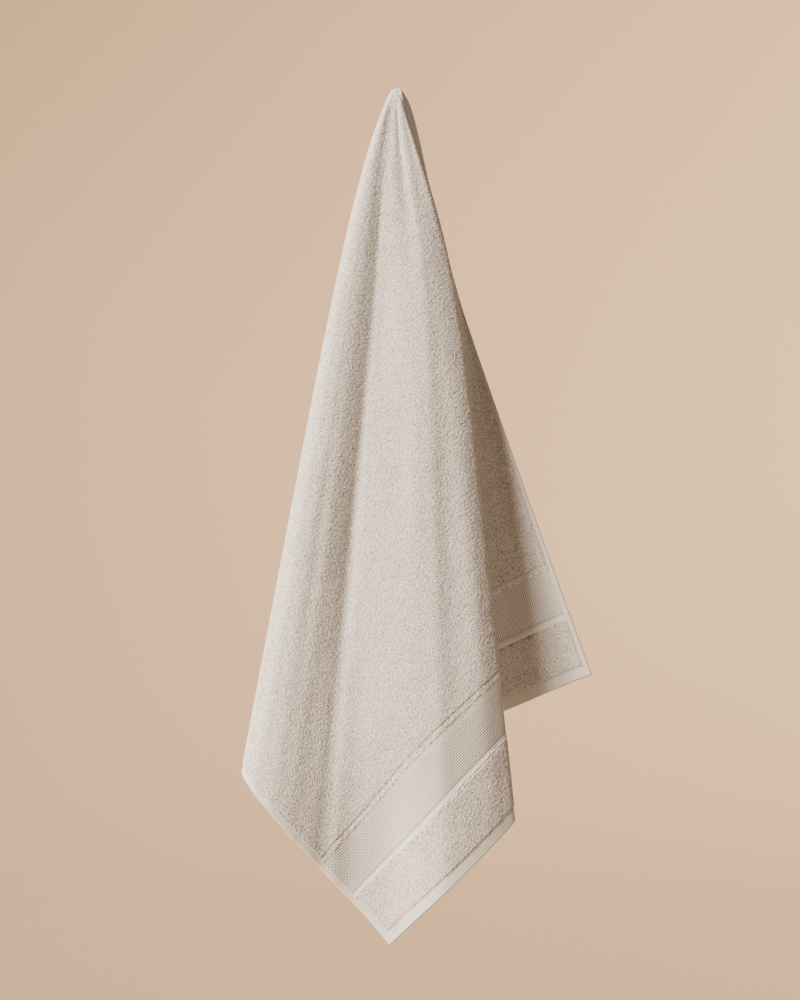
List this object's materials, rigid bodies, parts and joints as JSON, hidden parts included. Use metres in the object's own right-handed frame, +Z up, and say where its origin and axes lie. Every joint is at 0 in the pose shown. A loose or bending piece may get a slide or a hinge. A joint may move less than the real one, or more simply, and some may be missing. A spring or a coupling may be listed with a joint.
{
  "type": "bath towel",
  "caption": "Bath towel of plain cotton terry with woven borders, hung from one point of its long edge so that it falls in long tapering folds.",
  "frame": {"origin": "the point of the cloth that bears on whatever holds it up", "axes": "+Z up, +X to the trailing corner's side, +Y towards the wall behind the towel, so the front faces -Y"},
  "size_m": [0.4057, 0.0913, 0.9903],
  "materials": {
    "terry": "undyed greige cotton terry, short loop pile",
    "woven_border": "flat woven waffle border",
    "hem": "plain woven hem, turned and stitched"
  },
  "bodies": {
    "root": {"towel": "terry"}
  },
  "joints": []
}
